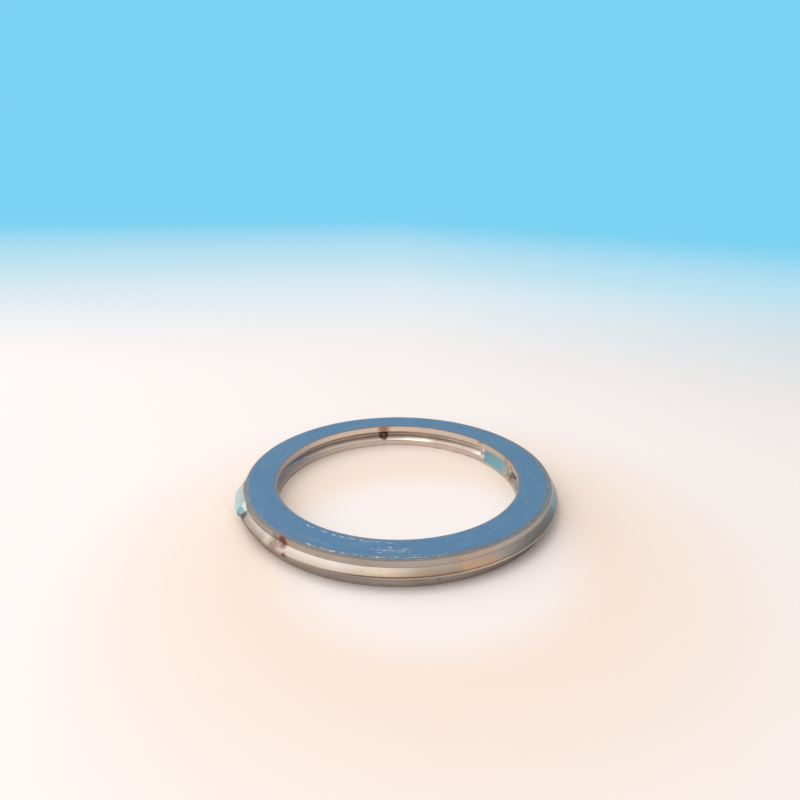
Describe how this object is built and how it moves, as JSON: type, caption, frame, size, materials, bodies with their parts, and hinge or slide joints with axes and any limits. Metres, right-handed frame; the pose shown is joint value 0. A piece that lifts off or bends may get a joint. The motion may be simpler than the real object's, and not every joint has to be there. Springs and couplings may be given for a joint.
{
  "type": "spiral wound gasket",
  "caption": "Flat sealing ring wound from a V-profile metal strip with a blue-faced filler strip between its turns, for clamping between two flange faces.",
  "frame": {"origin": "on the axis of the bore, at the level of the lower sealing face", "axes": "+Z along the bore axis, up from the lower sealing face; the winding's outer end lies near -X"},
  "size_m": [0.0598, 0.0594, 0.0045],
  "materials": {
    "stainless_strip": "rolled strip, satin, with brown heat tint and small rust spots at its spot welds",
    "blue_filler": "matt blue coated mineral paper, slightly worn at its edges"
  },
  "bodies": {
    "root": {"hoop_strip": "stainless_strip", "filler_strip": "blue_filler"}
  },
  "joints": []
}
